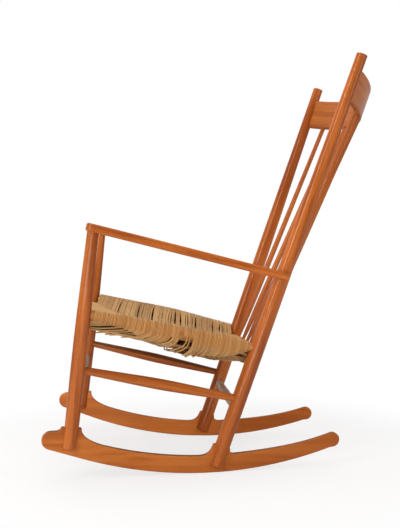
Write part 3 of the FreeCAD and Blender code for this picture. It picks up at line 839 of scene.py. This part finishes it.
def squared(distance, whole):
    """Forward drift of a cord that leaves its rail square and straightens towards the middle."""
    return SQUARE_OFF * (distance - distance * distance / (2 * whole))


def inner_end(edge, whole, way, limit):
    """Where a side cord that leaves the rail at edge meets the diagonal."""
    x = limit
    for _ in range(INNER_ROUNDS):
        y = edge[1] - squared(edge[0] - x, whole)
        x = 0.5 * x + 0.5 * min(limit, side_diagonal(y, way))
    return x, edge[1] - squared(edge[0] - x, whole)


class SideWeave:
    """Cords that wrap a side rail: worked out on the sitter's left, and mirrored where side is -1."""

    def __init__(self, side):
        self.side = side
        self.chooser = random.Random(SIDE_SEED + side)
        self.clump, self.drift, self.rise = [Wiggle(seed + side, knots) for seed, knots in SIDE_WIGGLES]
        self.first = TENON_PAST_AXIS + LEG_RADIUS
        self.last = left_rail.length - TENON_PAST_AXIS - POST_RADIUS
        self.count = int((self.last - self.first) / PITCH)
        direction = left_rail.direction
        self.inward = unit(-X - direction * (-X @ direction))
        up = np.cross(self.inward, direction)
        self.up = up if up[2] > 0 else -up

    def strands(self):
        return [self.strand((index + 0.5) / self.count) for index in range(self.count)]

    def wrap(self, share):
        """Centre and radius of the cord's way round the rail."""
        place = self.first + (self.last - self.first) * share
        layers = 0.5 + RISE * self.rise.at(share) + wobble(self.chooser, RADIUS_JITTER)
        radius = left_rail.radius(place) + CORD * layers
        if self.side > 0:
            radius += hills(share, NEAR_BULK)
        else:
            radius += looked_up(share, FAR_BULK, 1)
        aside = wobble(self.chooser, PLACE_JITTER) + PLACE_DRIFT * self.drift.at(share)
        return left_rail.at(place) + left_rail.direction * CORD * aside, radius

    def broken(self, share):
        """True for cords torn through below the near rail."""
        if self.side < 0:
            return False
        if TEAR[0] < share < TEAR[1]:
            return True
        return TEAR_EDGES[0] < share < TEAR_EDGES[1] and self.chooser.random() < TEAR_CHANCE

    def loop(self, share):
        """How far a cord hangs below the near rail, and how far it is swept to the front."""
        if self.side < 0:
            return 0.0, 0.0
        hang = looked_up(share, LOOPS, 1)
        sweep = looked_up(share, LOOPS, 2)
        if hang:
            hang *= 1 + wobble(self.chooser, HANG_JITTER) + HANG_CLUMP * self.clump.at(share)
            sweep += CORD * CLUMP_SWEEP * self.clump.at(1 - share) * min(1.0, hang / HANG_FULL)
        return hang, sweep

    def over(self, start, top, edge, whole, share, loose):
        """Cord's way over the top, from the rail to the diagonal."""
        clumped = loose * LOOSE_PUSH * self.clump.at(share)
        push = CORD * (parted(share, SEAMS[self.side], 1 / self.count) + clumped)
        push += wobble(self.chooser, CORD * PUSH_JITTER)
        wave = self.chooser.uniform(-1, 1) * CORD * (WAVE + LOOSE_WAVE * loose)
        path = []
        for step in range(1, OVER_STEPS + 1):
            progress = step / OVER_STEPS
            swing = math.sin(progress * math.pi)
            point = start + (top - start) * progress
            straight = edge[1] + (top[1] - edge[1]) * progress
            bent = edge[1] - squared((edge[0] - top[0]) * progress, whole)
            grown = min(1.0, progress * OVER_SPREAD)
            point = point + Y * (bent - straight + push * grown + wave * swing)
            dip = OVER_DIP * (1 + loose) * min(1.0, (edge[0] - top[0]) / OVER_FULL)
            path.append(point - Z * dip * swing)
        return path

    def torn_end(self, ring, centre, radius):
        """Upper part of a torn cord's wrap, with a short frayed end."""
        kept = [point for point in ring if (point - centre) @ self.up > -TEAR_LEVEL * radius]
        drop = np.array((-FRAY_OUT, self.chooser.uniform(-FRAY, 0.0), -FRAY))
        return [kept[0] + drop] + kept

    def rubbed(self, path, centre, radius):
        """How far hands and legs have yellowed a cord: full on the rail's outer face, none on loops."""
        away = (np.array(path) - centre) @ -self.inward / radius
        low = -((np.array(path) - centre) @ self.up) / radius
        return np.clip((away - RUB_START) / RUB_GROWTH, 0, 1) * np.clip((RUB_LOW - low) / RUB_FADE, 0, 1)

    def strand(self, share):
        """Path, tint and rubbing of one cord."""
        loose = hills(share, SIDE_LOOSE[self.side])
        centre, radius = self.wrap(share)
        edge = centre + self.up * radius
        whole = centre[0]
        limit = centre[0] - radius - CORD
        top_x, top_y = inner_end(edge, whole, 1, limit)
        drop = CORD * (loose * abs(self.chooser.gauss(0, LOOSE_DROP)) + wobble(self.chooser, DROP_JITTER))
        top = np.array((top_x, top_y, layer_height(top_x, top_y, 1) + CORD - drop))
        bottom_x, bottom_y = inner_end(centre - self.up * radius, whole, -1, limit)
        torn = self.broken(share)
        hang, sweep = self.loop(share)
        sag = CORD * SAG * abs(self.chooser.gauss(0, 1))
        bottom = np.array((bottom_x, bottom_y - sweep, under_level(bottom_x, bottom_y) - sag))
        ring = wrap_path(centre, self.inward, self.up, radius, top, bottom, hang, sweep)
        over = self.over(ring[-1], top, edge, whole, share, loose)
        if torn:
            start = self.torn_end(ring, centre, radius)
        else:
            run = between(bottom, ring[0], SIDE_RUN_STEPS)
            start = tucked(bottom, -X, -1)[::-1] + [bottom] + run + ring
        path = start + over + tucked(over[-1], -X, 1)
        middle, spread = SIDE_TINT
        tint = middle + wobble(self.chooser, spread) + TINT_DRIFT * self.drift.at(1 - share)
        mirror = np.array((self.side, 1.0, 1.0))
        return np.array(path) * mirror, tint, self.rubbed(path, centre, radius)


def plain_strand(path, tint):
    return np.array(path), tint, np.zeros(len(path))


def evenly(width, count):
    """Evenly spaced places across the chair."""
    return [-width + 2 * width * (index + 0.5) / count for index in range(count)]


def uneven_strand(path, chooser, tint):
    """Cord whose points lie a little to either side."""
    path = np.array(path)
    path[:, 0] += CORD * PATH_JITTER * np.array([chooser.uniform(-1, 1) for _ in path])
    middle, spread = tint
    return plain_strand(path, middle + wobble(chooser, spread))


def front_strands():
    """Cords that wrap the front rail and run back under the side cords."""
    chooser = random.Random(FRONT_SEED)
    rise, slack = [Wiggle(seed, knots) for seed, knots in FRONT_WIGGLES]
    width = corner_front[0] - CORNER_GAP
    count = int(2 * width / PITCH)
    strands = []
    for index in range(count):
        share = (index + 0.5) / count
        x = -width + 2 * width * share + wobble(chooser, CORD * PLACE_JITTER)
        place = front_rail.length / 2 + x
        centre = front_rail.at(place)
        radius = front_rail.radius(place) + CORD * (0.5 + RISE * rise.at(share))
        end = min(rear_diagonal(x * corner_rear[0] / corner_front[0]), seat_rear - FRONT_END_GAP)
        ends = []
        for way in (1, -1):
            reach = max(front_diagonal(x, way), centre[1] + radius + CORD)
            lift = layer_height(x, reach, way) + wobble(chooser, way * CORD * LIFT_JITTER)
            if way < 0:
                lift += CORD * (FRONT_SLACK * slack.at(share) + wobble(chooser, FRONT_SLACK_JITTER))
            far_y = max(end, reach + FRONT_HIDDEN)
            inner_x = x * half_width(min(far_y, corner_rear[1])) / corner_front[0]
            far_z = between_layers(inner_x, far_y) + way * CORD * HIDDEN_LIFT
            far = np.array((inner_x, far_y, far_z))
            ends.append((np.array((x, reach, lift)), far))
        (top, top_far), (bottom, bottom_far) = ends
        ring = wrap_path(centre, Y, Z, radius, top, bottom)
        path = ([bottom_far] + between(bottom_far, bottom, RUN_STEPS) + [bottom]
                + between(bottom, ring[0], RUN_STEPS) + ring + between(ring[-1], top, RUN_STEPS)
                + [top] + between(top, top_far, RUN_STEPS) + [top_far])
        strands.append(uneven_strand(path, chooser, FRONT_TINT))
    return strands


def rear_strands():
    """Cords that wrap the rear rail between the spindles and spread out in front of them."""
    chooser = random.Random(REAR_SEED)
    rise, slack = [Wiggle(seed, knots) for seed, knots in REAR_WIGGLES]
    width = corner_rear[0] - CORNER_GAP
    spots = spindle_spots()
    places = evenly(width, int(2 * width / PITCH))
    places = [x for x in places if min(abs(x - spot) for spot in spots) >= SPINDLE_RADIUS]
    strands = []
    for x, inner in zip(places, evenly(width, len(places))):
        share = (x + width) / (2 * width)
        centre = rear_rail_at(x)
        radius = REAR_RAIL_RADIUS + CORD * (0.5 + RISE * rise.at(share))
        reach = min(rear_diagonal(inner), centre[1] - radius - CORD)
        hang = REAR_HANG + CORD * REAR_SLACK * slack.at(share)
        far_y = reach - REAR_HIDDEN * CORD
        far = np.array((inner, far_y, between_layers(inner, far_y)))
        top = np.array((inner, reach, layer_height(inner, reach, 1)))
        bottom = np.array((inner, reach, layer_height(inner, reach, -1) - hang))
        ring = wrap_path(centre, -Y, Z, radius, top, bottom, hang)
        path = ([far, bottom] + between(bottom, ring[0], RUN_STEPS) + ring
                + between(ring[-1], top, RUN_STEPS) + [top, far])
        strands.append(uneven_strand(path, chooser, REAR_TINT))
    return strands


def spindle_spots():
    """Where each spindle meets the rear rail, across the chair."""
    names = ["spindle_%d" % number for number in range(1, SPINDLE_COUNT + 1)]
    return [min(bar_axis(name), key=lambda point: point[2])[0] for name in names]


def fan_path(number, chooser):
    """Slack cord that fans back under the front of the near rail."""
    level = FAN_LEVELS[number]
    packed = level if level < FAN_PACKED else FAN_LEVELS[0] - number * CORD
    start = FAN_START + max(0.0, FAN_PACKED - level) * FAN_DELAY
    end = FAN_START + FAN_LEAD + (FAN_TOP - level) / FAN_SLOPE + FAN_TAIL
    path = []
    for share, height in zip(FAN_SHARES, (packed, level, level, level + CORD)):
        y = start + (end - start) * share
        edge = left_rail.at((y - left_rail.start[1]) / left_rail.direction[1])
        x = edge[0] - FAN_INSET - FAN_STEP * number
        path.append(np.array((x, y, height + wobble(chooser, FAN_JITTER))))
    return path


def slack_path(number, chooser):
    """Slack cord that runs forward from the near post, under the rail."""
    path = []
    for share, fall in zip(SLACK_PLACES, SLACK_FALLS):
        place = left_rail.length * (SLACK_START + SLACK_REACH * share)
        centre = left_rail.at(place)
        fall = (SLACK_FALL + SLACK_FALL_STEP * number) * fall
        level = centre[2] - left_rail.radius(place) - CORD - fall + wobble(chooser, SLACK_JITTER)
        path.append(np.array((centre[0] - SLACK_INSET - SLACK_STEP * number, centre[1], level)))
    return path


def stray_strands():
    """Slack cords under the near rail."""
    chooser = random.Random(STRAY_SEED)
    strands = []
    for number in range(len(FAN_LEVELS)):
        strands.append(plain_strand(smooth(fan_path(number, chooser)), FAN_TINT))
    for number in range(SLACK_COUNT):
        strands.append(plain_strand(smooth(slack_path(number, chooser)), SLACK_TINT))
    return strands


def smooth(path):
    """Rounded line through a few points."""
    padded = [2 * path[0] - path[1]] + list(path) + [2 * path[-1] - path[-2]]
    made = []
    for before, start, end, after in zip(padded, padded[1:], padded[2:], padded[3:]):
        for step in range(CURVE_STEPS):
            part = step / CURVE_STEPS
            curve = (end - before) * part + (2 * before - 5 * start + 4 * end - after) * part ** 2
            curve = curve + (3 * start - before - 3 * end + after) * part ** 3
            made.append(start + 0.5 * curve)
    made.append(path[-1])
    return made


# Meshes of the cords

def distinct(points, rub):
    """Points, distances along the cord and rubbing, without points that lie on the one before."""
    lengths = np.concatenate(([0.0], np.cumsum(np.linalg.norm(np.diff(points, axis=0), axis=1))))
    keep = np.concatenate(([True], np.diff(lengths) > SAME_POINT))
    return points[keep], lengths[keep], rub[keep]


def tube_rings(points):
    """Circles of points along a cord, each turned as little as possible from the last."""
    turns = np.arange(CORD_SIDES) * (2 * math.pi / CORD_SIDES)
    tangent = np.gradient(points, axis=0)
    tangent /= np.linalg.norm(tangent, axis=1)[:, None]
    normal = np.cross(tangent[0], FIRST_ACROSS)
    normal /= np.linalg.norm(normal)
    rings = []
    for point, ahead in zip(points, tangent):
        normal = normal - ahead * (normal @ ahead)
        normal /= np.linalg.norm(normal)
        circle = np.outer(np.cos(turns), normal) + np.outer(np.sin(turns), np.cross(ahead, normal))
        rings.append(point + (CORD / 2) * circle)
    return np.concatenate(rings)


def tube_faces(base, lengths):
    """Faces of a cord whose vertices start at base, its two flat ends too, and their UV places."""
    faces, uvs = [], []
    for ring in range(len(lengths) - 1):
        low = base + ring * CORD_SIDES
        high = low + CORD_SIDES
        for side in range(CORD_SIDES):
            after = (side + 1) % CORD_SIDES
            faces.append((low + side, low + after, high + after, high + side))
            for step, turn in ((0, side), (0, side + 1), (1, side + 1), (1, side)):
                uvs.append((turn / CORD_SIDES, lengths[ring + step] / PLY_LENGTH))
    top = base + (len(lengths) - 1) * CORD_SIDES
    faces.append(tuple(base + side for side in reversed(range(CORD_SIDES))))
    faces.append(tuple(top + side for side in range(CORD_SIDES)))
    uvs.extend([(0.0, 0.0)] * (2 * CORD_SIDES))
    return faces, uvs


def add_attribute(mesh, name, values):
    attribute = mesh.attributes.new(name, "FLOAT", "POINT")
    attribute.data.foreach_set("value", np.array(values, np.float32))


def tube_mesh(name, strands):
    """One mesh of round cords, with their length and place round the cord as UV."""
    vertices, faces, uvs, tints, rubs = [], [], [], [], []
    base = 0
    for points, tint, rub in strands:
        points, lengths, rub = distinct(points, rub)
        rings = tube_rings(points)
        new_faces, new_uvs = tube_faces(base, lengths)
        vertices.append(rings)
        faces.extend(new_faces)
        uvs.extend(new_uvs)
        tints.extend([tint] * len(rings))
        rubs.extend(np.repeat(rub, CORD_SIDES))
        base += len(rings)
    mesh = bpy.data.meshes.new(name)
    mesh.from_pydata(np.concatenate(vertices).tolist(), [], faces)
    layer = mesh.uv_layers.new(name="cord")
    layer.data.foreach_set("uv", np.array(uvs, np.float32).ravel())
    add_attribute(mesh, "tint", tints)
    add_attribute(mesh, "rubbed", rubs)
    mesh.polygons.foreach_set("use_smooth", [True] * len(mesh.polygons))
    mesh.update()
    piece = bpy.data.objects.new(name, mesh)
    scene.collection.objects.link(piece)
    return piece


def cord_material():
    """Twisted paper cord: tan, yellower and polished where hands and legs rub the rails."""
    material = new_material("paper_cord")
    tree = Tree(material)
    tint = tree.add("ShaderNodeAttribute", attribute_name="tint").outputs["Fac"]
    face = tree.add("ShaderNodeAttribute", attribute_name="rubbed").outputs["Fac"]
    uv = tree.add("ShaderNodeUVMap", uv_map="cord").outputs[0]
    parts = tree.add("ShaderNodeSeparateXYZ", {0: uv})
    phase = tree.math("ADD", tree.math("MULTIPLY", parts.outputs[0], PLIES), parts.outputs[1])
    ply = tree.math("SINE", tree.math("MULTIPLY", phase, 2 * math.pi))
    patches = tree.noise(tree.place(), *PATCH_NOISE)
    fibres = tree.noise(tree.place(), *FIBRE_NOISE)

    colour = tree.mix(tree.ramp(tint, *TINT_RANGE), *CORD_TONES)
    yellow = tree.mix(tree.ramp(tint, *TINT_RANGE), *RUBBED_TONES)
    colour = tree.mix(tree.math("MULTIPLY", face, RUBBED_SHARE), colour, yellow)
    spot = left_rail.at(left_rail.length * STAIN_PLACE) + X * (REAR_RAIL_RADIUS + CORD)
    edges = [STAIN_SIZE * share for share in STAIN_EDGES]
    colour = tree.layer(colour, STAIN_COLOUR, tree.length(tree.away_from(spot)), edges, STAIN_SHARE)
    # Painted shade between neighbouring wraps: cord sides that face along Y darken on the rubbed outer face
    sideways = tree.math("ABSOLUTE", tree.dot(tree.add("ShaderNodeNewGeometry").outputs["Normal"], Y))
    crevice_shade = tree.math("MULTIPLY", tree.ramp(sideways, *CREVICE_SHADE_LIMITS), CREVICE_SHADE_SHARE)
    colour = tree.mix(tree.math("MULTIPLY", crevice_shade, face), colour, CREVICE_SHADE_COLOUR)
    colour = tree.layer(colour, PATCH_COLOUR, patches, PATCHES, PATCH_SHARE)
    # Painted shade in the grooves between the plies
    colour = tree.layer(colour, PLY_GROOVE_SHADE_COLOUR, ply, PLY_GROOVES, PLY_GROOVE_SHADE_SHARE)
    height = tree.math("ADD", tree.math("MULTIPLY", ply, PLY_HEIGHT),
                       tree.math("MULTIPLY", fibres, FIBRE_HEIGHT))
    tree.finish(colour, CORD_ROUGHNESS, height, CORD_BUMP, {"Specular IOR Level": CORD_SPECULAR})
    return material


def make_seat():
    material = cord_material()
    groups = {
        "seat_cords_left": SideWeave(1).strands(),
        "seat_cords_right": SideWeave(-1).strands(),
        "seat_cords_front": front_strands(),
        "seat_cords_rear": rear_strands(),
        "seat_cords_stray": stray_strands(),
    }
    for name, strands in groups.items():
        piece = tube_mesh(name, strands)
        piece.data.materials.append(material)
        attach(piece, "root")
        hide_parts("woven_seat")


make_camera()
make_floor()
make_world()
make_lights()
dress_wood()
make_seat()
